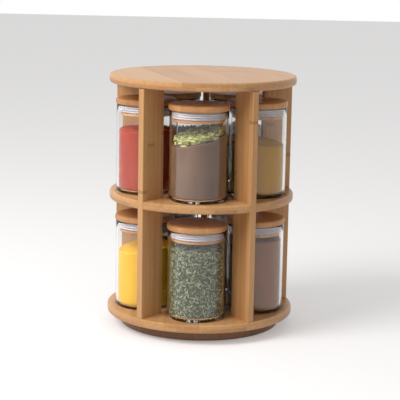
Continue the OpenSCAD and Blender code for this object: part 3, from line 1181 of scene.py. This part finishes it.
@dataclass
class Jars:
    """All ten jars.

    Attributes:
        lid_pale, lid_dark: Tones of the lids' bamboo.
    """

    lid_pale: Colour = tone(214, 160, 108)
    lid_dark: Colour = tone(176, 118, 70)

    def build(self) -> None:
        """Builds each jar with its lid, seal and spice."""
        glass, silicone = Glass().make(), Silicone().make()
        lids = Bamboo(
            "bamboo_lids", self.lid_pale, self.lid_dark, 0.021, 0.03, attribute="wood", roughness=0.45
        )
        wood = lids.make()
        for (tier, bay), recipe in recipes().items():
            jar = Jar(tier, bay)
            jar.glass(glass)
            jar.lid(wood)
            jar.seal(silicone)
            filling = Filling(recipe.heap)
            # Under whole grains the body shrinks by a grain's thickness, and its dark finish paints the shade
            # between the grains.
            if recipe.grains is not None and not isinstance(recipe.grains, Pods):
                filling = Filling(recipe.heap, radius=filling.radius - recipe.grains.half[2])
            jar.spice(filling, recipe.ground.make(), recipe.slot)
            if recipe.grains is not None:
                filling.radius = Filling(recipe.heap).radius
                jar.whole_spice(recipe.grains.over(filling), recipe.whole.make())
            log.info("%s jar %d: %s", tier.value, bay, recipe.ground.name)


@dataclass(frozen=True)
class Viewpoint:
    """The camera, whose place and aim were fitted to the rack's edges.

    Attributes:
        distance: Distance from the rack's axis, level.
        height: Height above the table.
        azimuth: Turn round the rack's axis from the front of bay 1, in degrees.
        pitch: How far it looks down, in degrees.
        yaw: How far it looks aside from the axis.
        roll: How far it leans.
        lens: Focal length in millimetres on a 36 mm sensor.
    """

    distance: float = 1.5570
    height: float = 0.43752
    azimuth: float = 3.108
    pitch: float = 10.769
    yaw: float = -0.044
    roll: float = 1.037
    lens: float = 125.32

    def build(self) -> None:
        """Makes the camera: it looks along +Y, pitched, yawed and rolled, then goes round the axis."""
        lens = bpy.data.cameras.new("camera")
        lens.lens, lens.sensor_width, lens.clip_end = self.lens, 36.0, 50.0
        camera = bpy.data.objects.new("camera", lens)
        bpy.context.scene.collection.objects.link(camera)
        level = Matrix.Rotation(math.radians(90), 4, "X")
        pitch = Matrix.Rotation(math.radians(-self.pitch), 4, "X")
        yaw = Matrix.Rotation(math.radians(-self.yaw), 4, "Z")
        roll = Matrix.Rotation(math.radians(self.roll), 4, "Z")
        round_axis = Matrix.Rotation(math.radians(self.azimuth), 4, "Z")
        stand = Matrix.Translation((0, -self.distance, self.height))
        camera.matrix_world = round_axis @ stand @ yaw @ pitch @ level @ roll
        bpy.context.scene.camera = camera


@dataclass(frozen=True)
class Studio:
    """A pale floor in a white room, with one large soft lamp on the left.

    Attributes:
        fill: Brightness of the room as light.
        key: Brightness that the lamp gives a surface square to it.
        key_turn: Turn of the lamp to the left of the camera's side, in degrees.
        key_lift: Height of the lamp above the horizon, in degrees.
        key_size, key_far: Width and distance of the lamp.
        floor_half: Half the width of the floor.
        floor_tone: Tone of the floor.
        floor_glow: Brightness that the floor shows on top of the light that falls on it.
    """

    fill: float = 0.5
    key: float = 0.7
    key_turn: float = 52.0
    key_lift: float = 42.0
    key_size: float = 0.9
    key_far: float = 1.6
    floor_half: float = 6.0
    floor_tone: Colour = (0.8, 0.785, 0.78, 1.0)
    floor_glow: float = 0.3

    def seen(self, graph: Graph) -> Value:
        """1 for what is seen straight, mirrored or through glass, and 0 for light that falls on things."""
        path = graph.node("ShaderNodeLightPath")
        kinds = ("Camera", "Glossy", "Transmission")
        straight, mirrored, through = (Value(graph, path.outputs[f"Is {kind} Ray"]) for kind in kinds)
        return graph.math("MINIMUM", straight + mirrored + through, 1.0)

    def room(self) -> None:
        """Makes the world: white where it is seen, and the fill as light."""
        world = bpy.data.worlds.new("room")
        graph = Graph(world)
        strength = self.seen(graph) * (1 - self.fill) + self.fill
        back = graph.node("ShaderNodeBackground", None, {"Color": (1.0, 1.0, 1.0, 1.0), "Strength": strength})
        graph.node("ShaderNodeOutputWorld", None, {"Surface": back.outputs[0]})
        bpy.context.scene.world = world

    def floor(self) -> None:
        """Makes the floor: one square whose glow lifts it to white where no shadow falls."""
        half = self.floor_half
        corners = np.array([[-half, -half, 0], [half, -half, 0], [half, half, 0], [-half, half, 0]])
        piece = Surface(corners, np.array([[0, 1, 2, 3]])).piece("floor")
        graph = Graph.named("floor_paper")
        matt = graph.node("ShaderNodeBsdfDiffuse", None, {"Color": self.floor_tone}).outputs[0]
        strength = self.seen(graph) * self.floor_glow
        glow = graph.node("ShaderNodeEmission", None, {"Strength": strength}).outputs[0]
        both = graph.node("ShaderNodeAddShader", None, {0: matt, 1: glow}).outputs[0]
        graph.node("ShaderNodeOutputMaterial", None, {"Surface": both})
        dress(piece, graph.owner)

    def lamp(self) -> None:
        """Hangs the lamp, aimed at the middle of the rack. Its power is the brightness times the
        square of pi times its distance."""
        light = bpy.data.lights.new("key", "AREA")
        light.shape, light.size = "DISK", self.key_size
        light.energy = self.key * (math.pi * self.key_far) ** 2
        lamp = bpy.data.objects.new("key", light)
        bpy.context.scene.collection.objects.link(lamp)
        aim = Matrix.Translation((0, 0, (CAD_BOX[0].z + CAD_BOX[1].z) / 2))
        turn = Matrix.Rotation(math.radians(-self.key_turn), 4, "Z")
        lift = Matrix.Rotation(math.radians(90 - self.key_lift), 4, "X")
        lamp.matrix_world = aim @ turn @ lift @ Matrix.Translation((0, 0, self.key_far))
        lamp.visible_glossy = False

    def build(self) -> None:
        """Builds the room, floor and lamp."""
        self.room()
        self.floor()
        self.lamp()
        bpy.context.scene.view_settings.view_transform = "Standard"


def main() -> None:
    """Builds everything in order."""
    logging.basicConfig(level=logging.INFO, format="%(name)s %(message)s")
    Viewpoint().build()
    Studio().build()
    Boards().build()
    Turntable().build()
    Jars().build()


if __name__ == "__main__":
    main()
